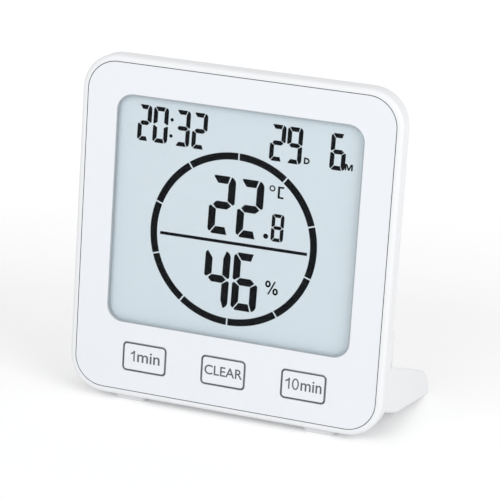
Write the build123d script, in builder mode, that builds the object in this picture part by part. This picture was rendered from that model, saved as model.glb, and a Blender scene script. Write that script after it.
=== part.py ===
from build123d import *
import os
from math import acos, asin, atan, atan2, cos, degrees, hypot, radians, sin, sqrt, tan

# Desk thermo-hygrometer with three front keys and a fold-out stand.
# Millimetres, +Z up. The origin is on the surface that it stands on, under the middle of its box.
# "Depth" is measured behind the front face, "v" is measured up the face from its centre.
# A "side", "end", "rise" or "drop" is the distance from the edge that a piece keeps to.

# Case
width, height = 79.0, 82.5
corner = 8.8
rim_depth = 4.6
rim_wall = 1.5
front_round = 1.1
lean = 2.5

# Front panel and display window
panel_thick = 1.2
panel_gap = 0.2
window_side, window_top, window_bottom = 9.15, 9.0, 18.5
window_x = 0.12
window_corner = 4.0
window_front = 0.7
window_lip = 1.3
window_gap = 0.08
floor_thick = 1.0

# Front keys
key_w, key_h = 11.0, 7.0
key_corner = 1.0
key_side, key_rise = 13.9, 10.15
key_gap = 0.15
key_flange = 0.7
key_flange_thick = 0.6
key_play = 0.2
key_travel = 0.4
plunger_radius = 2.0
dome_radius, dome_height = 2.6, 0.4

# Liquid crystal cell and circuit board
glass_side, glass_above, glass_below = 0.65, 0.5, 3.75
glass_thick = 1.1
glass_gap = 0.1
glass_bevel = 0.3
glass_ledge = 2.2
reflector_thick, reflector_inset = 0.15, 0.5
spacer_inset, spacer_bar = 1.0, 2.0
strip_inset, strip_h = 4.0, 1.2
board_side, board_end = 6.0, 6.25
board_thick = 0.8
board_front = 3.9
board_notch = 0.4

# Rear housing
rear_inset = 2.5
rear_wall = 2.0
rear_bevel = 0.8
flange_front = 3.4
flange_gap = 0.1
upper_back = 10.3
lower_back = 15.5
step_gap, step_rise = 1.6, 0.3

# Stand, hinged beside the rear housing
hinge_depth, hinge_rise = 7.1, 13.95
hinge_radius = 2.2
pin_radius, pin_gap = 1.0, 0.05
pin_in_cheek, pin_in_housing = 1.4, 1.8
stand_inset = 0.1
cheek_thick = 1.8
cheek_bevel = 0.4
stand_reach = 8.5
stand_knee = 9.5
stand_tip_reach = 3.37
stand_clear = 3.9
stand_heel = (8.6, 0.7)
tip_flat = 0.26
tip_slope = 37.5
tip_round = 9.0
plate_thick = 1.6
plate_gap = 0.4
swing_gap = 0.35
finger_radius, finger_depth = 11.0, 3.0

# Battery compartment
cell_radius, cell_thick = 10.0, 3.2
cell_cap_inset, cell_cap_height, cell_bevel = 1.2, 0.4, 0.3
battery_side, battery_top = 6.5, 1.05
contact_thick, contact_radius = 0.2, 4.0
contact_tail, contact_tail_w = 10.0, 2.4
contact_tab, contact_tab_w = 2.0, 3.0
door_lip, door_gap = 1.0, 0.2
door_thick, door_bevel = 1.2, 0.3
hub_clear, ledge_thick = 0.7, 0.8
lug_reach, lug_thick, lug_angle, lug_spare = 1.4, 0.7, 24.0, 4.0
lug_gap, lug_root, lug_turn, door_turn = 0.1, 0.4, 30.0, 45.0
bayonet_gap = 0.2
coin_slot_w, coin_slot_h, coin_slot_depth = 10.0, 1.6, 0.7
well_wall = 1.2
holder_gap, holder_wall, holder_height, holder_notch = 0.2, 1.0, 2.3, 5.0

# Rear keys
rear_key_radius, rear_key_bevel = 2.5, 0.3
rear_key_side, rear_key_pitch, rear_key_drop = 12.0, 11.0, 8.75
rear_key_proud = 0.4
rear_key_lip = 0.8
rear_plunger_radius = 1.5
switch_size, switch_body, switch_height, switch_stem = 4.6, 1.0, 1.5, 1.2

# Parts on the circuit board
processor_place, processor_radius, processor_height, processor_bevel = (-2.0, -6.0), 5.0, 1.3, 0.7
crystal_place, crystal_w, crystal_h, crystal_height, crystal_corner = (8.0, -14.0), 7.0, 2.2, 2.0, 1.0
buzzer_side, buzzer_rise = 17.0, 22.75
buzzer_radius, buzzer_height, buzzer_hole, buzzer_hole_depth = 6.0, 3.4, 1.0, 1.0
sensor_size, sensor_height, sensor_port, sensor_port_depth = 3.0, 1.1, 0.6, 0.4

# Fasteners, pads and openings in the back
screw_side, screw_end = 6.5, 6.55
screw_radius, head_radius, head_height = 0.95, 1.6, 1.2
screw_length = 5.6
screw_seat = 8.3
screw_gap, head_gap = 0.15, 0.2
cross_l, cross_w, cross_depth = 2.0, 0.5, 0.5
post_radius, column_radius = 1.9, 2.8
board_screw_side, board_screw_rise = 1.3, 11.75
board_screw_radius, board_head_height, board_screw_spare = 0.8, 0.9, 0.3
pad_w, pad_h, pad_side, pad_depth, pad_height = 8.0, 2.8, 15.5, 3.0, 1.2
pad_corner = 1.3
keyhole_drop, keyhole_radius, keyhole_slot, keyhole_rise = 11.75, 3.2, 1.7, 6.0
vent_w, vent_h, vent_pitch, vent_count = 12.0, 1.0, 2.2, 4
vent_side, vent_drop = 17.0, 20.75
sound_w, sound_h, sound_pitch, sound_count = 6.0, 1.0, 2.2, 3

# Places worked out from the sizes above
half_w, half_h = width / 2, height / 2
seam_w, seam_h = width - 2 * rim_wall, height - 2 * rim_wall
seam_corner = corner - rim_wall
floor_front = panel_thick
floor_back = floor_front + floor_thick
window_w, window_h = width - 2 * window_side, height - window_top - window_bottom
window_v = (window_bottom - window_top) / 2
key_pitch, key_v = half_w - key_side - key_w / 2, key_rise - half_h

glass_front = floor_front + glass_gap
glass_middle = glass_front + glass_thick
glass_back = glass_middle + glass_thick
reflector_back = glass_back + reflector_thick
glass_w, glass_h = window_w + 2 * glass_side, window_h + glass_above + glass_below
glass_v = window_v + (glass_above - glass_below) / 2
rear_glass_h, rear_glass_v = glass_h - glass_ledge, glass_v + glass_ledge / 2
strip_v = glass_v - glass_h / 2 + glass_ledge / 2
board_w, board_h = width - 2 * board_side, height - 2 * board_end
board_back = board_front + board_thick

rear_w, rear_h = width - 2 * rear_inset, height - 2 * rear_inset
rear_corner = corner - rear_inset
half_rear_w, half_rear = rear_w / 2, rear_h / 2
inside_back = upper_back - rear_wall
ledge_outside = upper_back - door_thick
hub_radius = cell_radius + hub_clear
door_radius = hub_radius + door_lip
bayonet_radius = hub_radius + lug_reach
well_radius = bayonet_radius + bayonet_gap + well_wall
battery_x = half_rear_w - well_radius - battery_side
battery_v = half_rear - well_radius - battery_top
cell_front = board_back + contact_thick

screw_x, screw_v = half_w - screw_side, half_h - screw_end
board_screw_x = key_pitch + key_w / 2 + key_flange + post_radius + board_screw_side
board_screw_v = board_screw_rise - half_h
rear_key_x = (rear_key_side + rear_key_pitch - half_rear_w, rear_key_side - half_rear_w)
rear_key_v = half_rear - rear_key_drop
keyhole_v = half_rear - keyhole_drop
vent_x, vent_v = vent_side - half_rear_w, half_rear - vent_drop
buzzer_place = (buzzer_side - half_rear_w, buzzer_rise - half_rear)
pad_x = half_w - pad_side

# The stand reaches to just under the battery door, and opens until its tip rests on the surface
hinge_v = hinge_rise - half_h
stand_half = half_w - stand_inset
stand_length = battery_v - door_radius - stand_clear - hinge_v
swing = hypot(stand_reach, stand_knee) - swing_gap
slope = atan((stand_reach - stand_tip_reach) / (stand_length - stand_knee))
face_z = (half_h + pad_height) * cos(radians(lean)) + pad_depth * sin(radians(lean))
hinge_height = face_z + hinge_v * cos(radians(lean)) - hinge_depth * sin(radians(lean))
tip_closed = degrees(atan2(stand_length, stand_tip_reach)) - lean
tip_opened = -degrees(asin((hinge_height + tip_flat) / hypot(stand_length, stand_tip_reach)))
stand_open = tip_closed - tip_opened
tip = Vector(stand_tip_reach, stand_length).rotate(Axis.Z, -stand_open)
tip_y = (hinge_depth + tip.X) * cos(radians(lean)) + (hinge_v + tip.Y) * sin(radians(lean))
front_y = -(half_h - front_round) * sin(radians(lean))
face_y = -(tip_y + front_y) / 2

face = Plane(
    origin=(0, face_y, face_z),
    x_dir=(1, 0, 0),
    z_dir=(0, -cos(radians(lean)), sin(radians(lean))),
)
side = Plane(origin=face.origin, x_dir=-face.z_dir, z_dir=face.x_dir)
forward = Axis(face.origin, face.z_dir)
hinge = Plane(origin=side.from_local_coords((hinge_depth, hinge_v, 0)), x_dir=side.x_dir, z_dir=side.z_dir)
opened = Plane(
    origin=hinge.origin,
    x_dir=hinge.x_dir * cos(radians(stand_open)) - hinge.y_dir * sin(radians(stand_open)),
    z_dir=hinge.z_dir,
)
plate_plane = Plane(
    origin=opened.from_local_coords((stand_tip_reach, stand_length, 0)),
    x_dir=(1, 0, 0),
    z_dir=opened.x_dir * cos(slope) + opened.y_dir * sin(slope),
)


def behind(depth):
    return face.offset(-depth)


def write(builder, name):
    builder.part.label = name
    export_step(builder.part, f"parts/{name}.step")


os.makedirs("parts", exist_ok=True)

# Front housing: the white rim, a floor that carries the panel, and posts for the screws
with BuildPart() as front_housing:
    with BuildSketch(behind(rim_depth)):
        RectangleRounded(width, height, corner)
    extrude(amount=rim_depth)
    fillet(front_housing.faces().sort_by(forward)[-1].edges(), front_round)
    with BuildSketch(face):
        RectangleRounded(seam_w, seam_h, seam_corner)
    extrude(amount=-floor_front, mode=Mode.SUBTRACT)
    with BuildSketch(behind(floor_back)):
        RectangleRounded(seam_w, seam_h, seam_corner)
    extrude(amount=-rim_depth, mode=Mode.SUBTRACT)
    with BuildSketch(behind(floor_front)):
        with Locations((window_x, glass_v)):
            Rectangle(glass_w + 2 * glass_gap, glass_h + 2 * glass_gap)
        with GridLocations(key_pitch, 0, 3, 1):
            with Locations((0, key_v)):
                RectangleRounded(key_w + 2 * key_gap, key_h + 2 * key_gap, key_corner + key_gap)
    extrude(amount=-floor_thick, mode=Mode.SUBTRACT)
    with BuildSketch(behind(floor_back)):
        with GridLocations(2 * screw_x, 2 * screw_v, 2, 2):
            Circle(post_radius)
    extrude(amount=-(rim_depth - floor_back))
    with BuildSketch(behind(floor_back)):
        with Locations((-board_screw_x, board_screw_v), (board_screw_x, board_screw_v)):
            Circle(post_radius)
    extrude(amount=-(board_front - floor_back))
    with BuildSketch(behind(rim_depth)):
        with GridLocations(2 * screw_x, 2 * screw_v, 2, 2):
            Circle(screw_radius)
    extrude(amount=screw_length - (screw_seat - rim_depth), mode=Mode.SUBTRACT)
    with BuildSketch(behind(board_front)):
        with Locations((-board_screw_x, board_screw_v), (board_screw_x, board_screw_v)):
            Circle(board_screw_radius)
    extrude(amount=board_front - floor_back, mode=Mode.SUBTRACT)
write(front_housing, "front_housing")

# Face panel: flush inside the rim, rebated from behind round the window
with BuildPart() as face_panel:
    with BuildSketch(face):
        RectangleRounded(seam_w - 2 * panel_gap, seam_h - 2 * panel_gap, seam_corner - panel_gap)
        with Locations((window_x, window_v)):
            RectangleRounded(
                window_w + 2 * window_gap, window_h + 2 * window_gap, window_corner, mode=Mode.SUBTRACT
            )
        with GridLocations(key_pitch, 0, 3, 1):
            with Locations((0, key_v)):
                RectangleRounded(
                    key_w + 2 * key_gap, key_h + 2 * key_gap, key_corner + key_gap, mode=Mode.SUBTRACT
                )
    extrude(amount=-panel_thick)
    with BuildSketch(behind(window_front)):
        with Locations((window_x, window_v)):
            RectangleRounded(
                window_w + 2 * (window_lip + window_gap),
                window_h + 2 * (window_lip + window_gap),
                window_corner,
            )
    extrude(amount=-(panel_thick - window_front), mode=Mode.SUBTRACT)
write(face_panel, "face_panel")

# Display window: a clear pane whose lip is held behind the panel
with BuildPart() as display_window:
    with BuildSketch(face):
        with Locations((window_x, window_v)):
            RectangleRounded(window_w, window_h, window_corner)
    extrude(amount=-panel_thick)
    with BuildSketch(behind(window_front)):
        with Locations((window_x, window_v)):
            RectangleRounded(window_w + 2 * window_lip, window_h + 2 * window_lip, window_corner)
    extrude(amount=-(panel_thick - window_front))
write(display_window, "display_window")

# Liquid crystal cell: two glasses, the rear one short so that the contact ledge is bare
with BuildPart() as lcd_front_glass:
    with BuildSketch(behind(glass_front)):
        with Locations((window_x, glass_v)):
            Rectangle(glass_w, glass_h)
    extrude(amount=-glass_thick)
    chamfer(lcd_front_glass.edges().filter_by(forward), glass_bevel)
write(lcd_front_glass, "lcd_front_glass")

with BuildPart() as lcd_rear_glass:
    with BuildSketch(behind(glass_middle)):
        with Locations((window_x, rear_glass_v)):
            Rectangle(glass_w, rear_glass_h)
    extrude(amount=-glass_thick)
write(lcd_rear_glass, "lcd_rear_glass")

with BuildPart() as lcd_reflector:
    with BuildSketch(behind(glass_back)):
        with Locations((window_x, rear_glass_v)):
            Rectangle(glass_w - 2 * reflector_inset, rear_glass_h - 2 * reflector_inset)
    extrude(amount=-reflector_thick)
write(lcd_reflector, "lcd_reflector")

spacer_w, spacer_h = glass_w - 2 * spacer_inset, rear_glass_h - 2 * spacer_inset
with BuildPart() as lcd_spacer:
    with BuildSketch(behind(reflector_back)):
        with Locations((window_x, rear_glass_v)):
            Rectangle(spacer_w, spacer_h)
            Rectangle(spacer_w - 2 * spacer_bar, spacer_h - 2 * spacer_bar, mode=Mode.SUBTRACT)
    extrude(amount=-(board_front - reflector_back))
write(lcd_spacer, "lcd_spacer")

with BuildPart() as contact_strip:
    with BuildSketch(behind(glass_middle)):
        with Locations((window_x, strip_v)):
            Rectangle(glass_w - 2 * strip_inset, strip_h)
    extrude(amount=-(board_front - glass_middle))
write(contact_strip, "contact_strip")

# Circuit board, notched round the four screw posts
with BuildPart() as circuit_board:
    with BuildSketch(behind(board_front)):
        Rectangle(board_w, board_h)
        with GridLocations(2 * screw_x, 2 * screw_v, 2, 2):
            Circle(column_radius + board_notch, mode=Mode.SUBTRACT)
        with Locations((-board_screw_x, board_screw_v), (board_screw_x, board_screw_v)):
            Circle(board_screw_radius, mode=Mode.SUBTRACT)
    extrude(amount=-board_thick)
write(circuit_board, "circuit_board")

# Front keys: a cap through panel and floor, a flange behind the floor, a plunger over its dome
key_back = board_front - dome_height - key_travel
key_names = ("key_1min", "key_clear", "key_10min")
for index, key_name in enumerate(key_names):
    key_x = (index - 1) * key_pitch
    with BuildPart() as front_key:
        with BuildSketch(face):
            with Locations((key_x, key_v)):
                RectangleRounded(key_w, key_h, key_corner)
        extrude(amount=-(floor_back + key_play))
        with BuildSketch(behind(floor_back + key_play)):
            with Locations((key_x, key_v)):
                Rectangle(key_w + 2 * key_flange, key_h + 2 * key_flange)
        extrude(amount=-key_flange_thick)
        with BuildSketch(behind(floor_back + key_play)):
            with Locations((key_x, key_v)):
                Circle(plunger_radius)
        extrude(amount=-(key_back - floor_back - key_play))
    write(front_key, key_name)

with BuildPart() as front_switches:
    with BuildSketch(behind(board_front)):
        with GridLocations(key_pitch, 0, 3, 1):
            with Locations((0, key_v)):
                Circle(dome_radius)
    extrude(amount=dome_height)
write(front_switches, "front_switches")

# Parts on the back of the circuit board
with BuildPart() as processor:
    with BuildSketch(behind(board_back)):
        with Locations(processor_place):
            Circle(processor_radius)
    extrude(amount=-processor_height)
    chamfer(processor.faces().sort_by(forward)[0].edges(), processor_bevel)
write(processor, "processor")

with BuildPart() as crystal:
    with BuildSketch(behind(board_back)):
        with Locations(crystal_place):
            RectangleRounded(crystal_w, crystal_h, crystal_corner)
    extrude(amount=-crystal_height)
write(crystal, "crystal")

with BuildPart() as buzzer:
    with BuildSketch(behind(board_back)):
        with Locations(buzzer_place):
            Circle(buzzer_radius)
    extrude(amount=-buzzer_height)
    with BuildSketch(behind(board_back + buzzer_height)):
        with Locations(buzzer_place):
            Circle(buzzer_hole)
    extrude(amount=buzzer_hole_depth, mode=Mode.SUBTRACT)
write(buzzer, "buzzer")

with BuildPart() as humidity_sensor:
    with BuildSketch(behind(board_back)):
        with Locations((vent_x, vent_v)):
            Rectangle(sensor_size, sensor_size)
    extrude(amount=-sensor_height)
    with BuildSketch(behind(board_back + sensor_height)):
        with Locations((vent_x, vent_v)):
            Circle(sensor_port)
    extrude(amount=sensor_port_depth, mode=Mode.SUBTRACT)
write(humidity_sensor, "humidity_sensor")

# Coin cell with its holder ring and two contacts
battery_place = (battery_x, battery_v)
with BuildPart() as cell_holder:
    with BuildSketch(behind(board_back)):
        with Locations(battery_place):
            Circle(cell_radius + holder_gap + holder_wall)
            Circle(cell_radius + holder_gap, mode=Mode.SUBTRACT)
            Rectangle(4 * cell_radius, holder_notch, mode=Mode.SUBTRACT)
    extrude(amount=-holder_height)
write(cell_holder, "cell_holder")

with BuildPart() as coin_cell:
    with BuildSketch(behind(cell_front)):
        with Locations(battery_place):
            Circle(cell_radius - cell_cap_inset)
    extrude(amount=-cell_thick)
    with BuildSketch(behind(cell_front + cell_cap_height)):
        with Locations(battery_place):
            Circle(cell_radius)
    extrude(amount=-(cell_thick - cell_cap_height))
    chamfer(coin_cell.faces().sort_by(forward)[0].edges(), cell_bevel)
write(coin_cell, "coin_cell")

with BuildPart() as contact_negative:
    with BuildSketch(behind(board_back)):
        with Locations(battery_place):
            Circle(contact_radius)
            Rectangle(contact_tail, contact_tail_w, align=(Align.MAX, Align.CENTER))
    extrude(amount=-contact_thick)
write(contact_negative, "contact_negative")

with BuildPart() as contact_positive:
    with BuildSketch(behind(board_back)):
        with Locations((battery_x + cell_radius + contact_thick / 2, battery_v)):
            Rectangle(contact_thick, contact_tab_w)
        with Locations((battery_x + cell_radius, battery_v)):
            Rectangle(contact_tab, contact_tab_w, align=(Align.MIN, Align.CENTER))
    extrude(amount=-contact_thick)
    with BuildSketch(behind(board_back)):
        with Locations((battery_x + cell_radius + contact_thick / 2, battery_v)):
            Rectangle(contact_thick, contact_tab_w)
    extrude(amount=-holder_height)
write(contact_positive, "contact_positive")

# Section of the rear housing. The lower block is round about the hinge axis, so that the stand's
# plate clears it; above it the back slopes under the closed stand, then steps out to the flat back.
along = Vector(-sin(slope), cos(slope))
inward = Vector(-cos(slope), -sin(slope))
knee = Vector(stand_reach, stand_knee)


def on_circle(radius, start, direction):
    # Where a line from start meets the circle about the hinge axis
    across = start.dot(direction)
    return start + direction * (-across + sqrt(across**2 - start.length**2 + radius**2))


def back_section(wall):
    # Outline of the rear housing from the side, drawn this far inside the outer surface
    axis_point = Vector(hinge_depth, hinge_v)
    radius = swing - wall
    half = half_rear - wall
    drop = half + hinge_v
    lower = lower_back - wall
    upper = upper_back - wall
    reach = sqrt(radius**2 - (lower - hinge_depth) ** 2)
    bottom_rear = Vector(hinge_depth + sqrt(radius**2 - drop**2), -half)
    foot = on_circle(radius, knee + inward * (plate_thick + plate_gap + wall), along)
    top = knee + along * ((stand_length - stand_knee) / cos(slope) + step_gap)
    top += inward * (plate_thick + plate_gap + wall)
    step = axis_point + top
    low_angle = degrees(atan2(-drop, bottom_rear.X - hinge_depth))
    low_end = degrees(atan2(-reach, lower - hinge_depth))
    high_angle = degrees(atan2(foot.Y, foot.X))
    with BuildSketch(side) as section:
        with BuildLine():
            Line((flange_front, -half), (bottom_rear.X, -half))
            CenterArc((hinge_depth, hinge_v), radius, low_angle, low_end - low_angle)
            Line((lower, hinge_v - reach), (lower, hinge_v + reach))
            CenterArc((hinge_depth, hinge_v), radius, -low_end, high_angle + low_end)
            Polyline(
                (hinge_depth + foot.X, hinge_v + foot.Y),
                (step.X, step.Y),
                (upper, step.Y + step_rise + wall),
                (upper, half),
                (flange_front, half),
                (flange_front, -half),
            )
        make_face()
    return section.sketch


with BuildPart() as cavity:
    with BuildSketch(behind(flange_front)):
        RectangleRounded(rear_w - 2 * rear_wall, rear_h - 2 * rear_wall, rear_corner - rear_wall)
    extrude(amount=-lower_back)
    extrude(back_section(rear_wall), amount=width / 2, both=True, mode=Mode.INTERSECT)

stations = ((-screw_x, -screw_v), (screw_x, -screw_v), (-screw_x, screw_v), (screw_x, screw_v))
lower_stations, upper_stations = stations[:2], stations[2:]
rear_key_places = [(x, rear_key_v) for x in rear_key_x]
vent_places = [(vent_x, vent_v + (row - (vent_count - 1) / 2) * vent_pitch) for row in range(vent_count)]


def wedges(depth, radius, spread, turn):
    # Three wedges of a disc about the battery's centre, as for the door's lugs and their gaps
    far = 2 * radius
    half_spread = tan(radians(spread / 2))
    with BuildSketch(behind(depth)) as shape:
        with Locations(battery_place):
            with PolarLocations(0, 3, start_angle=turn):
                Polygon((0, 0), (far, -far * half_spread), (far, far * half_spread), align=None)
            Circle(radius, mode=Mode.INTERSECT)
    return shape.sketch


with BuildPart() as rear_housing:
    with BuildSketch(behind(flange_front)):
        RectangleRounded(rear_w, rear_h, rear_corner)
    extrude(amount=-lower_back)
    extrude(back_section(0), amount=width / 2, both=True, mode=Mode.INTERSECT)
    flat_sides = rear_housing.faces().filter_by(Axis.X).sort_by(Axis.X)
    rims = flat_sides[0].edges() + flat_sides[-1].edges()
    rear_rims = rims.filter_by(lambda edge: side.to_local_coords(edge.center()).X > rim_depth + rear_bevel)
    chamfer(rear_rims, rear_bevel)
    with BuildSketch(behind(flange_front)):
        RectangleRounded(seam_w - 2 * flange_gap, seam_h - 2 * flange_gap, seam_corner - flange_gap)
    extrude(amount=-(rim_depth - flange_front))
    add(cavity.part, mode=Mode.SUBTRACT)
    with BuildSketch(behind(flange_front)):
        with Locations(*stations):
            Circle(post_radius + flange_gap)
    extrude(amount=-(rim_depth - flange_front), mode=Mode.SUBTRACT)

    # Screw columns from the back wall to the posts, with deep counterbores from outside
    for places, top in ((lower_stations, lower_back - rear_wall), (upper_stations, inside_back)):
        with BuildSketch(behind(rim_depth)):
            with Locations(*places):
                Circle(column_radius)
            RectangleRounded(rear_w - rear_wall, rear_h - rear_wall, rear_corner, mode=Mode.INTERSECT)
        extrude(amount=-(top - rim_depth))
    with BuildSketch(behind(rim_depth)):
        with Locations(*stations):
            Circle(screw_radius + screw_gap)
    extrude(amount=-lower_back, mode=Mode.SUBTRACT)
    with BuildSketch(behind(screw_seat)):
        with Locations(*stations):
            Circle(head_radius + head_gap)
    extrude(amount=-lower_back, mode=Mode.SUBTRACT)

    # Battery well, its ledge, and three gaps that let the door's lugs in
    with BuildSketch(behind(board_back)):
        with Locations(battery_place):
            Circle(well_radius)
        RectangleRounded(rear_w - rear_wall, rear_h - rear_wall, rear_corner, mode=Mode.INTERSECT)
    extrude(amount=-(inside_back - board_back))
    with BuildSketch(behind(board_back)):
        with Locations(battery_place):
            Circle(bayonet_radius + bayonet_gap)
    extrude(amount=-(inside_back - board_back), mode=Mode.SUBTRACT)
    with BuildSketch(behind(upper_back)):
        with Locations(battery_place):
            Circle(door_radius + door_gap)
    extrude(amount=door_thick, mode=Mode.SUBTRACT)
    with BuildSketch(behind(upper_back)):
        with Locations(battery_place):
            Circle(hub_radius + door_gap)
    extrude(amount=rear_wall + lug_gap, mode=Mode.SUBTRACT)
    extrude(
        wedges(upper_back, bayonet_radius + bayonet_gap, lug_angle + lug_spare, lug_turn),
        amount=rear_wall + lug_gap, dir=face.z_dir, mode=Mode.SUBTRACT,
    )

    # Rear key holes, hanging keyhole, air slots at the sensor and sound slots at the buzzer
    with BuildSketch(behind(upper_back)):
        with Locations(*rear_key_places):
            Circle(rear_key_radius + key_gap)
        with Locations((0, keyhole_v)):
            Circle(keyhole_radius)
        with Locations((0, keyhole_v + keyhole_rise / 2)):
            SlotCenterToCenter(keyhole_rise, 2 * keyhole_slot, rotation=90)
        with Locations(*vent_places):
            Rectangle(vent_w, vent_h)
    extrude(amount=rear_wall, mode=Mode.SUBTRACT)
    with BuildSketch(behind(lower_back)):
        with Locations(buzzer_place):
            with GridLocations(0, sound_pitch, 1, sound_count):
                Rectangle(sound_w, sound_h)
    extrude(amount=lower_back - board_back - buzzer_height, mode=Mode.SUBTRACT)

    # Bearing holes for the stand's pins
    with BuildSketch(hinge.offset(-width / 2)):
        Circle(pin_radius + pin_gap)
    extrude(amount=rear_inset + rear_wall, mode=Mode.SUBTRACT)
    with BuildSketch(hinge.offset(width / 2)):
        Circle(pin_radius + pin_gap)
    extrude(amount=-(rear_inset + rear_wall), mode=Mode.SUBTRACT)
write(rear_housing, "rear_housing")

# Battery door: a disc on the ledge, a hub through it and three lugs that turn in behind it
with BuildPart() as battery_door:
    with BuildSketch(behind(upper_back)):
        with Locations(battery_place):
            Circle(door_radius)
    extrude(amount=door_thick)
    chamfer(battery_door.faces().sort_by(forward)[0].edges(), door_bevel)
    with BuildSketch(behind(ledge_outside)):
        with Locations(battery_place):
            Circle(hub_radius)
    extrude(amount=ledge_thick + lug_gap)
    extrude(
        wedges(inside_back - lug_gap, bayonet_radius, lug_angle, lug_turn + door_turn),
        amount=lug_thick, dir=face.z_dir,
    )
    with BuildSketch(behind(inside_back - lug_gap - lug_thick)):
        with Locations(battery_place):
            Circle(hub_radius - lug_root)
    extrude(amount=-lug_thick, mode=Mode.SUBTRACT)
    with BuildSketch(behind(upper_back)):
        with Locations(battery_place):
            SlotOverall(coin_slot_w, coin_slot_h)
    extrude(amount=coin_slot_depth, mode=Mode.SUBTRACT)
write(battery_door, "battery_door")

# Rear keys and the switches that they press
for key_name, key_x in zip(("mode_key", "set_key"), rear_key_x):
    with BuildPart() as rear_key:
        with BuildSketch(behind(upper_back + rear_key_proud)):
            with Locations((key_x, rear_key_v)):
                Circle(rear_key_radius)
        extrude(amount=rear_key_proud + rear_wall + lug_gap)
        chamfer(rear_key.faces().sort_by(forward)[0].edges(), rear_key_bevel)
        with BuildSketch(behind(inside_back - lug_gap)):
            with Locations((key_x, rear_key_v)):
                Circle(rear_key_radius + rear_key_lip)
        extrude(amount=lug_thick)
        with BuildSketch(behind(inside_back - lug_gap)):
            with Locations((key_x, rear_key_v)):
                Circle(rear_plunger_radius)
        extrude(amount=inside_back - lug_gap - board_back - switch_height - key_travel)
    write(rear_key, key_name)

with BuildPart() as rear_switches:
    with BuildSketch(behind(board_back)):
        with Locations(*rear_key_places):
            Rectangle(switch_size, switch_size)
    extrude(amount=-switch_body)
    with BuildSketch(behind(board_back)):
        with Locations(*rear_key_places):
            Circle(switch_stem)
    extrude(amount=-switch_height)
write(rear_switches, "rear_switches")

# Screws
with BuildPart() as housing_screws:
    with BuildSketch(behind(screw_seat)):
        with Locations(*stations):
            Circle(head_radius)
    extrude(amount=-head_height)
    with BuildSketch(behind(screw_seat)):
        with Locations(*stations):
            Circle(screw_radius)
    extrude(amount=screw_length)
    with BuildSketch(behind(screw_seat + head_height)):
        with Locations(*stations):
            Rectangle(cross_l, cross_w)
            Rectangle(cross_w, cross_l)
    extrude(amount=cross_depth, mode=Mode.SUBTRACT)
write(housing_screws, "housing_screws")

with BuildPart() as board_screws:
    with BuildSketch(behind(board_back)):
        with Locations((-board_screw_x, board_screw_v), (board_screw_x, board_screw_v)):
            Circle(head_radius)
    extrude(amount=-board_head_height)
    with BuildSketch(behind(board_back)):
        with Locations((-board_screw_x, board_screw_v), (board_screw_x, board_screw_v)):
            Circle(board_screw_radius)
    extrude(amount=board_back - floor_back - board_screw_spare)
    with BuildSketch(behind(board_back + board_head_height)):
        with Locations((-board_screw_x, board_screw_v), (board_screw_x, board_screw_v)):
            Rectangle(cross_l, cross_w)
            Rectangle(cross_w, cross_l)
    extrude(amount=cross_depth, mode=Mode.SUBTRACT)
write(board_screws, "board_screws")

# Stand: two cheeks and a sloping plate, drawn folded against the back and turned open
tip_point = Vector(stand_tip_reach, stand_length)
tip_corner = (-hinge_radius, tip_point.Y - (tip_point.X + hinge_radius) * tan(radians(tip_slope)))
heel_angle = degrees(atan2(stand_heel[1], stand_heel[0]))
heel_distance = hypot(stand_heel[0], stand_heel[1])
touch_angle = radians(heel_angle) - acos(hinge_radius / heel_distance)
plate_foot = on_circle(swing + swing_gap, knee + inward * plate_thick, along)
tip_edge = Vector(-cos(radians(tip_slope)), -sin(radians(tip_slope)))
tip_inside = tip_point + tip_edge * (plate_thick / tip_edge.dot(inward))
cheek_inside = stand_half - cheek_thick

with BuildPart() as stand:
    with BuildSketch(opened.offset(stand_half)):
        with BuildLine():
            Polyline(
                (-hinge_radius, 0),
                tip_corner,
                (tip_point.X, tip_point.Y),
                (knee.X, knee.Y),
                stand_heel,
                (hinge_radius * cos(touch_angle), hinge_radius * sin(touch_angle)),
                (-hinge_radius, 0),
            )
        cheek = make_face()
        fillet(cheek.vertices().sort_by_distance(tip_corner)[0], tip_round)
        Circle(hinge_radius)
    extrude(amount=-cheek_thick)
    chamfer(stand.faces().sort_by(Axis.X)[-1].edges(), cheek_bevel)
    with BuildSketch(hinge.offset(cheek_inside)):
        Circle(pin_radius)
    extrude(amount=pin_in_cheek, mode=Mode.SUBTRACT)
    mirror(about=Plane.YZ)
    with BuildSketch(opened.offset(cheek_inside)):
        with BuildLine():
            Polyline(
                (knee.X, knee.Y),
                (tip_point.X, tip_point.Y),
                (tip_inside.X, tip_inside.Y),
                (plate_foot.X, plate_foot.Y),
                (knee.X, knee.Y),
            )
        make_face()
    extrude(amount=-2 * cheek_inside)
    with BuildSketch(plate_plane):
        with Locations((0, -(finger_radius - finger_depth))):
            Circle(finger_radius)
    extrude(amount=2 * plate_thick, both=True, mode=Mode.SUBTRACT)
    with BuildSketch(Plane.XY):
        Rectangle(2 * width, 2 * width)
    extrude(amount=-stand_reach, mode=Mode.SUBTRACT)
write(stand, "stand")

with BuildPart() as stand_pins:
    with BuildSketch(hinge.offset(rear_w / 2 - pin_in_housing)):
        Circle(pin_radius)
    extrude(amount=cheek_inside + pin_in_cheek - rear_w / 2 + pin_in_housing)
    mirror(about=Plane.YZ)
write(stand_pins, "stand_pins")

# Foot pads under the rim, cut level with the surface
sole = Plane(
    origin=side.from_local_coords((pad_depth, -height / 2, 0)), x_dir=(1, 0, 0), z_dir=-side.y_dir
)
with BuildPart() as foot_pads:
    with BuildSketch(sole):
        with Locations((-pad_x, 0), (pad_x, 0)):
            RectangleRounded(pad_w, pad_h, pad_corner)
    extrude(amount=2 * pad_height)
    with BuildSketch(Plane.XY):
        Rectangle(2 * width, 2 * width)
    extrude(amount=-height, mode=Mode.SUBTRACT)
write(foot_pads, "foot_pads")
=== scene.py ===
import math

import bpy
from mathutils import Matrix, Vector


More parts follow.
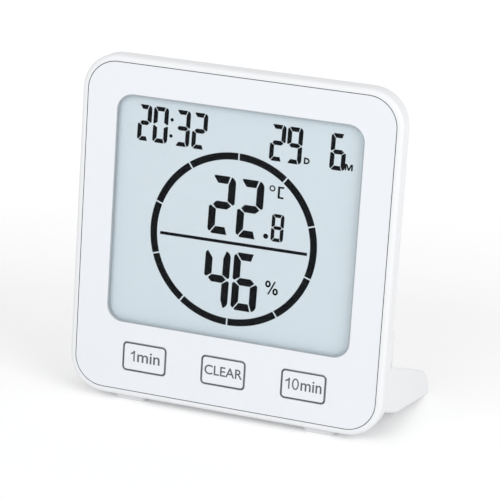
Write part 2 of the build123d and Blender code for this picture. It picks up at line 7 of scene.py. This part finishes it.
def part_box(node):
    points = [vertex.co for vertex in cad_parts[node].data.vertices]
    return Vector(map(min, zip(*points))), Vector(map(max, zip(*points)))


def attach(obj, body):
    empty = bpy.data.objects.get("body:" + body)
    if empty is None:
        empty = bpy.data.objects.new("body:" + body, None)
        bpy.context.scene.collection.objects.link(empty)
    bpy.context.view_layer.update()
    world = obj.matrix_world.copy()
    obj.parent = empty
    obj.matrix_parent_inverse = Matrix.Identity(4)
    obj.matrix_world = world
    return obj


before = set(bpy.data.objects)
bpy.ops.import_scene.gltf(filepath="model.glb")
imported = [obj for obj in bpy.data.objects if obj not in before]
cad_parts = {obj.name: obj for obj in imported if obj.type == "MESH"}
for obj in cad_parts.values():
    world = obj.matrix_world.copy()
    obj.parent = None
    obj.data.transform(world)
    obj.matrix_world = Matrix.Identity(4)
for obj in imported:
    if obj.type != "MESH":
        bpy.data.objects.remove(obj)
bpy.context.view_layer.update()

# The case stands on its lower edge and leans back a little.
# Places on it are given in millimetres: x to the right, v up the face from its centre,
# and depth behind the face.
MM = 0.001
LEAN = math.radians(2.5)
PANEL_THICK = 1.2
UPPER_BACK = 10.3
RIGHT = Vector((1, 0, 0))
UP = Vector((0, math.sin(LEAN), math.cos(LEAN)))
OUT = Vector((0, -math.cos(LEAN), math.sin(LEAN)))
panel_low, panel_high = (Vector(corner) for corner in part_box("face_panel"))
FACE = (panel_low + panel_high) / 2 + OUT * (PANEL_THICK / 2 * MM)


def on_face(x, v, depth=0.0):
    return FACE + RIGHT * (x * MM) + UP * (v * MM) - OUT * (depth * MM)


def facing_front(depth):
    # Takes a flat drawing in millimetres to this depth, read from the front
    turn = Matrix((RIGHT * MM, UP * MM, OUT * MM)).transposed()
    return Matrix.Translation(on_face(0, 0, depth)) @ turn.to_4x4()


def facing_back(x, v, depth):
    # The same, read from behind, with its middle at x and v
    turn = Matrix((-RIGHT * MM, UP * MM, -OUT * MM)).transposed()
    return Matrix.Translation(on_face(x, v, depth)) @ turn.to_4x4()


# Materials

def new_material(name):
    material = bpy.data.materials.new(name)
    material.use_nodes = True
    tree = material.node_tree
    return material, tree, tree.nodes["Principled BSDF"]


def object_point(tree):
    return tree.nodes.new("ShaderNodeTexCoord").outputs["Object"]


def noise(tree, point, scale, detail=2.0):
    node = tree.nodes.new("ShaderNodeTexNoise")
    node.inputs["Scale"].default_value = scale
    node.inputs["Detail"].default_value = detail
    tree.links.new(point, node.inputs["Vector"])
    return node.outputs["Fac"]


def spread(tree, value, low, high):
    node = tree.nodes.new("ShaderNodeMapRange")
    node.inputs["To Min"].default_value = low
    node.inputs["To Max"].default_value = high
    tree.links.new(value, node.inputs["Value"])
    return node.outputs["Result"]


def blend_colours(tree, value, first, second):
    node = tree.nodes.new("ShaderNodeMix")
    node.data_type = "RGBA"
    node.inputs["A"].default_value = (*first, 1)
    node.inputs["B"].default_value = (*second, 1)
    tree.links.new(value, node.inputs["Factor"])
    return node.outputs["Result"]


def bump(tree, shader, height, strength, distance=0.00001):
    node = tree.nodes.new("ShaderNodeBump")
    node.inputs["Strength"].default_value = strength
    node.inputs["Distance"].default_value = distance
    tree.links.new(height, node.inputs["Height"])
    tree.links.new(node.outputs["Normal"], shader.inputs["Normal"])


def moulded_plastic(name, colour, roughness=0.35, grain=9000.0, depth=0.25, tint=0.012):
    # A faint cloudiness of tone, a fine spark-eroded grain, and an uneven gloss
    material, tree, shader = new_material(name)
    point = object_point(tree)
    darker = tuple(max(channel - tint, 0) for channel in colour)
    tone = blend_colours(tree, noise(tree, point, 45.0, 3.0), darker, colour)
    tree.links.new(tone, shader.inputs["Base Color"])
    gloss = spread(tree, noise(tree, point, 300.0), roughness - 0.05, roughness + 0.05)
    tree.links.new(gloss, shader.inputs["Roughness"])
    bump(tree, shader, noise(tree, point, grain, 1.0), depth)
    shader.inputs["IOR"].default_value = 1.49
    return material


def metal(name, colour, roughness=0.3, grain=2500.0):
    material, tree, shader = new_material(name)
    point = object_point(tree)
    shader.inputs["Metallic"].default_value = 1.0
    stroke = noise(tree, point, grain)
    darker = tuple(channel * 0.9 for channel in colour)
    tone = blend_colours(tree, noise(tree, point, 120.0), darker, colour)
    tree.links.new(tone, shader.inputs["Base Color"])
    tree.links.new(spread(tree, stroke, roughness - 0.08, roughness + 0.08), shader.inputs["Roughness"])
    bump(tree, shader, stroke, 0.2)
    return material


def clear_pane(name, colour, alpha, roughness):
    material, tree, shader = new_material(name)
    point = object_point(tree)
    shader.inputs["Alpha"].default_value = alpha
    shader.inputs["IOR"].default_value = 1.49
    lighter = tuple(channel + 0.02 for channel in colour)
    tone = blend_colours(tree, noise(tree, point, 60.0), colour, lighter)
    tree.links.new(tone, shader.inputs["Base Color"])
    gloss = spread(tree, noise(tree, point, 200.0), roughness, roughness + 0.04)
    tree.links.new(gloss, shader.inputs["Roughness"])
    return material


def printing_ink(name, colour, roughness=0.45, sheen=0.5):
    # Screen-printed ink: slightly mottled, with a soft sheen
    material, tree, shader = new_material(name)
    point = object_point(tree)
    lighter = tuple(channel * 1.15 + 0.001 for channel in colour)
    tone = blend_colours(tree, noise(tree, point, 900.0), colour, lighter)
    tree.links.new(tone, shader.inputs["Base Color"])
    gloss = spread(tree, noise(tree, point, 1500.0), roughness - 0.05, roughness + 0.1)
    tree.links.new(gloss, shader.inputs["Roughness"])
    shader.inputs["Specular IOR Level"].default_value = sheen
    bump(tree, shader, noise(tree, point, 12000.0, 1.0), 0.15)
    return material


def polariser_film(name, colour, cooler):
    # The display's matt film: a broad drift of tone and a very fine anti-glare grain
    material, tree, shader = new_material(name)
    point = object_point(tree)
    tone = blend_colours(tree, noise(tree, point, 18.0, 3.0), colour, cooler)
    tree.links.new(tone, shader.inputs["Base Color"])
    tree.links.new(spread(tree, noise(tree, point, 500.0), 0.55, 0.68), shader.inputs["Roughness"])
    bump(tree, shader, noise(tree, point, 16000.0, 1.0), 0.2)
    return material


def dress(material, *names):
    for name in names:
        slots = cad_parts[name].data.materials
        slots.clear()
        slots.append(material)


white_plastic = moulded_plastic("white_plastic", (0.875, 0.885, 0.905))
panel_plastic = moulded_plastic("panel_plastic", (0.85, 0.875, 0.91), roughness=0.42)
key_plastic = moulded_plastic("key_plastic", (0.85, 0.87, 0.90), roughness=0.4)
rear_key_rubber = moulded_plastic("rear_key_rubber", (0.40, 0.42, 0.44), roughness=0.6)
pad_rubber = moulded_plastic("pad_rubber", (0.78, 0.79, 0.80), roughness=0.6)
# Near-black colour for the seam strip: painted shade standing for the shadow in the groove
painted_seam_shade = moulded_plastic("painted_seam_shade", (0.060, 0.068, 0.080), roughness=0.7, tint=0.01)
black_resin = moulded_plastic("black_resin", (0.02, 0.02, 0.022), roughness=0.3, tint=0.005)
sensor_resin = moulded_plastic("sensor_resin", (0.75, 0.75, 0.73), roughness=0.5)
board_lacquer = moulded_plastic("board_lacquer", (0.03, 0.14, 0.06), roughness=0.3, tint=0.015)
foam = moulded_plastic("foam", (0.8, 0.8, 0.8), roughness=0.9, grain=4000.0, depth=0.6)
strip_rubber = moulded_plastic("strip_rubber", (0.45, 0.25, 0.25), roughness=0.7)
window_acrylic = clear_pane("window_acrylic", (0.08, 0.09, 0.10), 0.03, 0.1)
display_glass = clear_pane("display_glass", (0.80, 0.87, 0.90), 0.08, 0.15)
reflector_foil = metal("reflector_foil", (0.80, 0.83, 0.85), 0.5, grain=6000.0)
display_film = polariser_film("display_film", (0.705, 0.80, 0.86), (0.715, 0.812, 0.868))
display_ink = printing_ink("display_ink", (0.0012, 0.0018, 0.003), 0.6, sheen=0.05)
line_ink = printing_ink("line_ink", (0.34, 0.38, 0.41))
key_ink = printing_ink("key_ink", (0.070, 0.082, 0.092))
letter_ink = printing_ink("letter_ink", (0.085, 0.096, 0.107))
spring_steel = metal("spring_steel", (0.62, 0.62, 0.63), 0.3)
screw_steel = metal("screw_steel", (0.55, 0.56, 0.58), 0.35)
cell_steel = metal("cell_steel", (0.66, 0.66, 0.66), 0.22)
contact_brass = metal("contact_brass", (0.72, 0.6, 0.36), 0.3)

dress(white_plastic, "front_housing", "rear_housing", "stand", "battery_door")
dress(panel_plastic, "face_panel")
dress(key_plastic, "key_1min", "key_clear", "key_10min")
dress(rear_key_rubber, "mode_key", "set_key")
dress(pad_rubber, "foot_pads")
dress(window_acrylic, "display_window")
dress(display_glass, "lcd_front_glass", "lcd_rear_glass")
dress(reflector_foil, "lcd_reflector")
dress(foam, "lcd_spacer")
dress(strip_rubber, "contact_strip")
dress(board_lacquer, "circuit_board")
dress(black_resin, "processor", "buzzer", "cell_holder")
dress(sensor_resin, "humidity_sensor")
dress(spring_steel, "front_switches", "rear_switches", "crystal")
dress(cell_steel, "coin_cell")
dress(contact_brass, "contact_negative", "contact_positive")
dress(screw_steel, "housing_screws", "board_screws", "stand_pins")


# Outlines, in millimetres

def oval(x, v, half_w, half_h, start=0, end=360, steps=24):
    # A whole oval leaves out its last point, which is its first
    whole = abs(end - start) == 360
    angles = [math.radians(start + (end - start) * step / steps) for step in range(steps + (not whole))]
    return [(x + half_w * math.cos(angle), v + half_h * math.sin(angle)) for angle in angles]


def arc(x, v, radius, start, end, steps):
    return oval(x, v, radius, radius, start, end, steps)


def circle(x, v, radius, steps=24):
    return oval(x, v, radius, radius, steps=steps)


def ring_line(x, v, half_w, half_h, line):
    return [oval(x, v, half_w, half_h), oval(x, v, half_w - line, half_h - line)]


def rounded_frame(left, bottom, right, top, corner, line, steps=12):
    # The two edges of a line drawn round a rectangle with rounded corners
    edges = []
    for inset in (0.0, line):
        radius = corner - inset
        edge = arc(right - corner, top - corner, radius, 0, 90, steps)
        edge += arc(left + corner, top - corner, radius, 90, 180, steps)
        edge += arc(left + corner, bottom + corner, radius, 180, 270, steps)
        edge += arc(right - corner, bottom + corner, radius, 270, 360, steps)
        edges.append(edge)
    return edges


def stroke_between(x1, v1, x2, v2, line):
    # A straight stroke cut level at both ends
    half = line / 2
    return [(x1 - half, v1), (x1 + half, v1), (x2 + half, v2), (x2 - half, v2)]


def placed(outlines, left, bottom):
    return [[(left + x, bottom + v) for x, v in outline] for outline in outlines]


# Flat prints: outlines given a thickness, closed, and laid on the case

def solid_from(drawing, name):
    bpy.context.scene.collection.objects.link(drawing)
    bpy.ops.object.select_all(action="DESELECT")
    drawing.select_set(True)
    bpy.context.view_layer.objects.active = drawing
    bpy.ops.object.convert(target="MESH")
    piece = bpy.context.object
    piece.name = name
    piece.data.name = name
    bpy.ops.object.mode_set(mode="EDIT")
    bpy.ops.mesh.select_all(action="SELECT")
    bpy.ops.mesh.remove_doubles(threshold=0.0005)
    bpy.ops.mesh.normals_make_consistent(inside=False)
    bpy.ops.object.mode_set(mode="OBJECT")
    return piece


def lay(piece, place, material, body):
    piece.matrix_world = place
    bpy.ops.object.transform_apply(location=True, rotation=True, scale=True)
    piece.data.materials.clear()
    piece.data.materials.append(material)
    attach(piece, body)


def printed(name, outlines, place, thick, material, body="case"):
    curve = bpy.data.curves.new(name, "CURVE")
    curve.dimensions = "2D"
    curve.fill_mode = "BOTH"
    curve.extrude = thick / 2
    for outline in outlines:
        spline = curve.splines.new("POLY")
        spline.points.add(len(outline) - 1)
        for point, (x, v) in zip(spline.points, outline):
            point.co = (x, v, 0, 1)
        spline.use_cyclic_u = True
    lay(solid_from(bpy.data.objects.new(name, curve), name), place, material, body)


def lettered(name, words, left, bottom, right, top, place, thick, material,
             body="case", bold=0.0):
    # Plain lettering stretched to the room it takes
    curve = bpy.data.curves.new(name, "FONT")
    curve.body = words
    curve.offset = bold
    curve.resolution_u = 5
    curve.extrude = thick / 2
    piece = solid_from(bpy.data.objects.new(name, curve), name)
    xs = [vertex.co.x for vertex in piece.data.vertices]
    vs = [vertex.co.y for vertex in piece.data.vertices]
    grow = Matrix.Diagonal(((right - left) / (max(xs) - min(xs)), (top - bottom) / (max(vs) - min(vs)), 1, 1))
    fit = Matrix.Translation((left, bottom, 0)) @ grow @ Matrix.Translation((-min(xs), -min(vs), 0))
    lay(piece, place @ fit, material, body)


# A dark strip laid in the seam between the housing and the face panel: painted shade that stands for the
# shadow in the groove

SEAM_W, SEAM_H, SEAM_CORNER = 76.0, 79.5, 7.3
SEAM_SHADE_LINE, SEAM_SHADE_CLEAR, SEAM_SHADE_DEPTH, SEAM_SHADE_THICK = 0.18, 0.01, 0.18, 0.26
shade_side, shade_end = SEAM_W / 2 - SEAM_SHADE_CLEAR, SEAM_H / 2 - SEAM_SHADE_CLEAR
printed(
    "painted_seam_shadow",
    rounded_frame(-shade_side, -shade_end, shade_side, shade_end, SEAM_CORNER - SEAM_SHADE_CLEAR, SEAM_SHADE_LINE),
    facing_front(SEAM_SHADE_DEPTH), SEAM_SHADE_THICK, painted_seam_shade,
)


# The display's film lies between the window and the glass, and carries what is shown

FILM_DEPTH, FILM_THICK = 1.26, 0.04
INK_DEPTH, INK_THICK = 1.23, 0.03
FILM_LEFT, FILM_BOTTOM, FILM_RIGHT, FILM_TOP = -30.83, -26.4, 31.07, 32.7
film_edge = [
    (FILM_LEFT, FILM_BOTTOM), (FILM_RIGHT, FILM_BOTTOM), (FILM_RIGHT, FILM_TOP), (FILM_LEFT, FILM_TOP),
]
printed("display_film", [film_edge], facing_front(FILM_DEPTH), FILM_THICK, display_film)


def shown(name, outlines):
    printed(name, outlines, facing_front(INK_DEPTH), INK_THICK, display_ink)


# Digits of seven bars. The bars on the right sweep round their outer corners, those on the left
# are cut across them, and the middle one is pointed at both ends.

SLANT = 0.014
BARS_LIT = {
    "0": "abcdef", "2": "abged", "3": "abgcd", "4": "fgbc", "6": "afgecd", "8": "abcdefg", "9": "abcdfg",
}


def bar_shapes(w, h, t):
    mid = h / 2
    sweep = 0.9 * t
    top = [
        (0.45 * t, h - 0.16 * t), (0.6 * t, h), (w - 0.82 * t, h), (w - 1.13 * t, h - t), (1.06 * t, h - t),
    ]
    right = arc(w - sweep, h - sweep, sweep, 72, 0, 6) + [
        (w, mid + 0.32 * t), (w - 0.25 * t, mid + 0.13 * t), (w - t, mid + 0.62 * t), (w - t, h - 1.1 * t),
    ]
    left = [
        (0, mid + 0.32 * t), (0, h - 0.65 * t), (0.1 * t, h - 0.38 * t), (0.32 * t, h - 0.25 * t),
        (t, h - 1.18 * t), (t, mid + 0.62 * t), (0.25 * t, mid + 0.13 * t),
    ]
    middle = [
        (0.54 * t, mid), (t, mid + t / 2), (w - t, mid + t / 2),
        (w - 0.45 * t, mid), (w - t, mid - t / 2), (t, mid - t / 2),
    ]

    def lower(shape):
        return [(x, h - y) for x, y in reversed(shape)]

    return {
        "a": top, "b": right, "c": lower(right), "d": lower(top), "e": lower(left), "f": left, "g": middle,
    }


def digit(figure, left, bottom, w, h, t):
    shapes = bar_shapes(w, h, t)
    return [
        [(left + x + SLANT * (y - h / 2), bottom + y) for x, y in shapes[bar]]
        for bar in BARS_LIT[figure]
    ]


SMALL_W, SMALL_H, SMALL_T = 3.75, 8.6, 1.04
clock = digit("2", -25.43, 21.48, 3.4, SMALL_H, SMALL_T)
clock += digit("0", -21.57, 21.45, SMALL_W, SMALL_H, SMALL_T)
clock += digit("3", -16.06, 21.38, SMALL_W, SMALL_H, SMALL_T)
clock += digit("2", -11.75, 21.32, SMALL_W, SMALL_H, SMALL_T)
clock += [circle(-16.90, 27.37, 0.42, 16), circle(-16.97, 23.52, 0.42, 16)]
shown("clock_digits", clock)

day = digit("2", 7.53, 21.18, SMALL_W, SMALL_H, SMALL_T) + digit("9", 11.65, 21.11, SMALL_W, SMALL_H, SMALL_T)
shown("day_digits", day)
shown("month_digit", digit("6", 22.21, 21.07, SMALL_W, SMALL_H, SMALL_T))

BIG_W, BIG_H, BIG_T = 6.3, 14.0, 1.8
temperature = digit("2", -6.49, 1.90, BIG_W, BIG_H, BIG_T) + digit("2", 0.54, 1.91, BIG_W, BIG_H, BIG_T)
temperature += [circle(7.96, 3.11, 0.62, 20)]
temperature += digit("8", 9.20, 2.14, 3.05, 6.6, 0.84)
shown("temperature_digits", temperature)

humidity = digit("4", -6.67, -15.86, BIG_W, BIG_H, BIG_T) + digit("6", 0.45, -15.74, BIG_W, BIG_H, BIG_T)
shown("humidity_digits", humidity)

# The ring of ten bars with narrow gaps, and the bar across it

RING_X, RING_V, RING_OUTER, RING_INNER = -0.07, 0.99, 20.76, 19.08
RING_BARS, RING_GAP, RING_START, RING_STEPS = 10, 0.36, 89.3, 18
ring = []
for bar in range(RING_BARS):
    start = RING_START + bar * 360 / RING_BARS
    end = start + 360 / RING_BARS
    outer_gap = math.degrees(RING_GAP / 2 / RING_OUTER)
    inner_gap = math.degrees(RING_GAP / 2 / RING_INNER)
    ring.append(
        arc(RING_X, RING_V, RING_OUTER, start + outer_gap, end - outer_gap, RING_STEPS)
        + arc(RING_X, RING_V, RING_INNER, end - inner_gap, start + inner_gap, RING_STEPS)
    )
shown("comfort_ring", ring)
shown("divider_bar", [[(-18.33, -0.29), (18.34, -0.08), (18.34, 0.66), (-18.33, 0.45)]])


# Degree ring and unit letter, percent sign, and the small letters beside the date

def unit_letter(w, h, line, bar):
    return [[(0, 0), (w, 0), (w, bar), (line, bar), (line, h - bar), (w, h - bar), (w, h), (0, h)]]


def day_letter(w, h, line):
    shoulder = 0.4 * w
    bowl = oval(shoulder, h / 2, w - shoulder, h / 2, 90, -90, 12)
    inside = oval(shoulder, h / 2, w - shoulder - line, h / 2 - line, 90, -90, 12)
    return [[(0, 0), (0, h)] + bowl, [(line, line), (line, h - line)] + inside]


def month_letter(w, h, line):
    mid = w / 2
    return [[
        (0, 0), (0, h), (1.35 * line, h), (mid, 0.36 * h), (w - 1.35 * line, h), (w, h), (w, 0),
        (w - line, 0), (w - line, 0.66 * h), (mid + 0.42 * line, 0), (mid - 0.42 * line, 0),
        (line, 0.66 * h), (line, 0),
    ]]


degree = ring_line(8.85, 14.66, 0.74, 0.74, 0.30)
degree += placed(unit_letter(1.45, 2.86, 0.50, 0.42), 10.24, 12.46)
shown("degree_sign", degree)
percent = ring_line(9.32, -8.20, 0.70, 0.84, 0.45) + ring_line(11.20, -9.87, 0.70, 0.84, 0.45)
percent += [stroke_between(9.46, -10.70, 11.06, -7.42, 0.40)]
shown("percent_sign", percent)
shown("day_letter", placed(day_letter(1.40, 1.50, 0.36), 16.0, 21.47))
shown("month_letter", placed(month_letter(1.90, 1.50, 0.38), 25.92, 21.38))


# Grey line printed round the window

WINDOW_LEFT, WINDOW_BOTTOM, WINDOW_RIGHT, WINDOW_TOP, WINDOW_CORNER = -30.23, -22.75, 30.47, 32.25, 4.0
WINDOW_LINE, WINDOW_SPREAD = 0.30, 0.12
PRINT_THICK = 0.03
printed(
    "window_line",
    rounded_frame(
        WINDOW_LEFT - WINDOW_SPREAD, WINDOW_BOTTOM - WINDOW_SPREAD, WINDOW_RIGHT + WINDOW_SPREAD,
        WINDOW_TOP + WINDOW_SPREAD, WINDOW_CORNER, WINDOW_LINE,
    ),
    facing_front(0.0), PRINT_THICK, line_ink,
)


# Frames and labels printed on the keys

KEY_W, KEY_H, KEY_V, KEY_PITCH, KEY_CORNER, KEY_LINE = 11.0, 7.0, -31.1, 20.1, 1.0, 0.34
LETTER_FOOT, LETTER_LINE, LETTER_BOLD = -32.2, 0.34, 0.010


def figure_one(left, w, h, line):
    # A stem with a flag that hangs down to its left
    return placed([[
        (w, 0), (w, h), (w - 0.75 * line, h), (w - 1.5 * line, h - line),
        (0, h - 2.1 * line), (0, h - 3.05 * line),
        (w - line, h - 2.1 * line), (w - line, 0),
    ]], left, LETTER_FOOT)


def label_key(words, index):
    body = f"key_{words}"
    key_x = index * KEY_PITCH
    frame_line = rounded_frame(
        key_x - KEY_W / 2, KEY_V - KEY_H / 2, key_x + KEY_W / 2, KEY_V + KEY_H / 2, KEY_CORNER, KEY_LINE,
    )
    printed(f"{body}_line", frame_line, facing_front(0.0), PRINT_THICK, key_ink, body=body)
    return body


body = label_key("1min", -1)
figure = figure_one(-23.64, 1.06, 2.68, LETTER_LINE)
printed(f"{body}_figure", figure, facing_front(0.0), PRINT_THICK, letter_ink, body=body)
lettered(f"{body}_words", "min", -21.92, -32.2, -16.15, -29.5, facing_front(0.0), PRINT_THICK, letter_ink,
         body=body, bold=LETTER_BOLD)

body = label_key("clear", 0)
lettered(f"{body}_words", "CLEAR", -4.68, -32.15, 4.86, -29.75, facing_front(0.0), PRINT_THICK, letter_ink,
         body=body, bold=LETTER_BOLD)

body = label_key("10min", 1)
figures = figure_one(15.60, 1.14, 2.68, LETTER_LINE) + ring_line(18.17, -30.87, 0.86, 1.42, LETTER_LINE)
printed(f"{body}_figure", figures, facing_front(0.0), PRINT_THICK, letter_ink, body=body)
lettered(f"{body}_words", "min", 19.47, -32.2, 24.65, -29.5, facing_front(0.0), PRINT_THICK, letter_ink,
         body=body, bold=LETTER_BOLD)


# Words beside the rear keys, and the plus sign on the battery door

REAR_KEY_V, REAR_WORD_DROP, REAR_WORD_H = 30.0, 4.9, 1.5
PLUS_REACH, PLUS_LINE, PLUS_V, PLUS_THICK = 1.3, 0.5, 29.4, 0.1
BATTERY_X = 17.0
for name, words, key_x, half in (("mode_words", "MODE", -14.0, 2.7), ("set_words", "SET", -25.0, 1.8)):
    place = facing_back(key_x, REAR_KEY_V - REAR_WORD_DROP, UPPER_BACK)
    lettered(name, words, -half, 0.0, half, REAR_WORD_H, place, PRINT_THICK, letter_ink)
line, reach = PLUS_LINE / 2, PLUS_REACH
plus_sign = [[
    (line, line), (reach, line), (reach, -line), (line, -line), (line, -reach), (-line, -reach),
    (-line, -line), (-reach, -line), (-reach, line), (-line, line), (-line, reach), (line, reach),
]]
printed("plus_sign", plus_sign, facing_back(BATTERY_X, PLUS_V, UPPER_BACK), PLUS_THICK, white_plastic,
        body="battery_door")


# Studio: a pale floor that runs into a white surround, and soft light

def seen_directly(tree):
    path = tree.nodes.new("ShaderNodeLightPath")
    total = path.outputs["Is Camera Ray"]
    for ray in ("Is Glossy Ray", "Is Transmission Ray"):
        either = tree.nodes.new("ShaderNodeMath")
        either.operation = "MAXIMUM"
        tree.links.new(total, either.inputs[0])
        tree.links.new(path.outputs[ray], either.inputs[1])
        total = either.outputs[0]
    return total


# The floor's own light is low beside the object, where its shadow falls, and grows away from it
FLOOR_SIZE = 6.0
GLOW_NEAR, GLOW_FAR, NEAR_RADIUS, FAR_RADIUS = 0.20, 0.52, 0.09, 0.5
bpy.ops.object.select_all(action="DESELECT")
bpy.ops.mesh.primitive_plane_add(size=FLOOR_SIZE, location=(0, 0, 0))
floor = bpy.context.object
floor.name = "floor"
floor_paper, tree, shader = new_material("floor_paper")
shader.inputs["Base Color"].default_value = (0.95, 0.95, 0.95, 1)
shader.inputs["Roughness"].default_value = 0.8
shader.inputs["Emission Color"].default_value = (1, 1, 1, 1)
radius = tree.nodes.new("ShaderNodeVectorMath")
radius.operation = "LENGTH"
tree.links.new(object_point(tree), radius.inputs[0])
growth = tree.nodes.new("ShaderNodeMapRange")
growth.inputs["From Min"].default_value = NEAR_RADIUS
growth.inputs["From Max"].default_value = FAR_RADIUS
growth.inputs["To Min"].default_value = GLOW_NEAR
growth.inputs["To Max"].default_value = GLOW_FAR
tree.links.new(radius.outputs["Value"], growth.inputs["Value"])
glow = tree.nodes.new("ShaderNodeMath")
glow.operation = "MULTIPLY"
tree.links.new(seen_directly(tree), glow.inputs[0])
tree.links.new(growth.outputs["Result"], glow.inputs[1])
tree.links.new(glow.outputs[0], shader.inputs["Emission Strength"])
floor.data.materials.append(floor_paper)

SURROUND = 0.62
world = bpy.data.worlds.new("surround")
bpy.context.scene.world = world
world.use_nodes = True
tree = world.node_tree
backdrop = tree.nodes["Background"]
backdrop.inputs["Color"].default_value = (1, 1, 1, 1)
strength = tree.nodes.new("ShaderNodeMapRange")
strength.inputs["To Min"].default_value = SURROUND
strength.inputs["To Max"].default_value = 1.0
tree.links.new(seen_directly(tree), strength.inputs["Value"])
tree.links.new(strength.outputs["Result"], backdrop.inputs["Strength"])


def soft_light(name, place, size, power):
    data = bpy.data.lights.new(name, "AREA")
    data.shape = "SQUARE"
    data.size = size
    data.energy = power
    light = bpy.data.objects.new(name, data)
    bpy.context.scene.collection.objects.link(light)
    light.location = place
    light.rotation_euler = (FACE - Vector(place)).to_track_quat("-Z", "Y").to_euler()


soft_light("front_light", (-0.25, -1.05, 0.55), 0.8, 2.8)
soft_light("side_light", (0.9, -0.5, 0.5), 0.7, 4.0)

# Camera: the photograph's view
AZIMUTH, ELEVATION, ROLL = math.radians(19.84), math.radians(17.295), math.radians(2.838)
DISTANCE, LENS = 600.0, 186.18
TARGET = on_face(4.783, -0.412)
towards = Vector((
    math.sin(AZIMUTH) * math.cos(ELEVATION),
    -math.cos(AZIMUTH) * math.cos(ELEVATION),
    math.sin(ELEVATION),
))
camera_data = bpy.data.cameras.new("camera")
camera_data.lens = LENS
camera_data.sensor_width = 36.0
camera_data.clip_start = 0.01
camera = bpy.data.objects.new("camera", camera_data)
bpy.context.scene.collection.objects.link(camera)
turned = (-towards).to_track_quat("-Z", "Y").to_matrix() @ Matrix.Rotation(ROLL, 3, "Z")
camera.matrix_world = Matrix.Translation(TARGET + towards * (DISTANCE * MM)) @ turned.to_4x4()
bpy.context.scene.camera = camera
bpy.context.scene.view_settings.view_transform = "Standard"
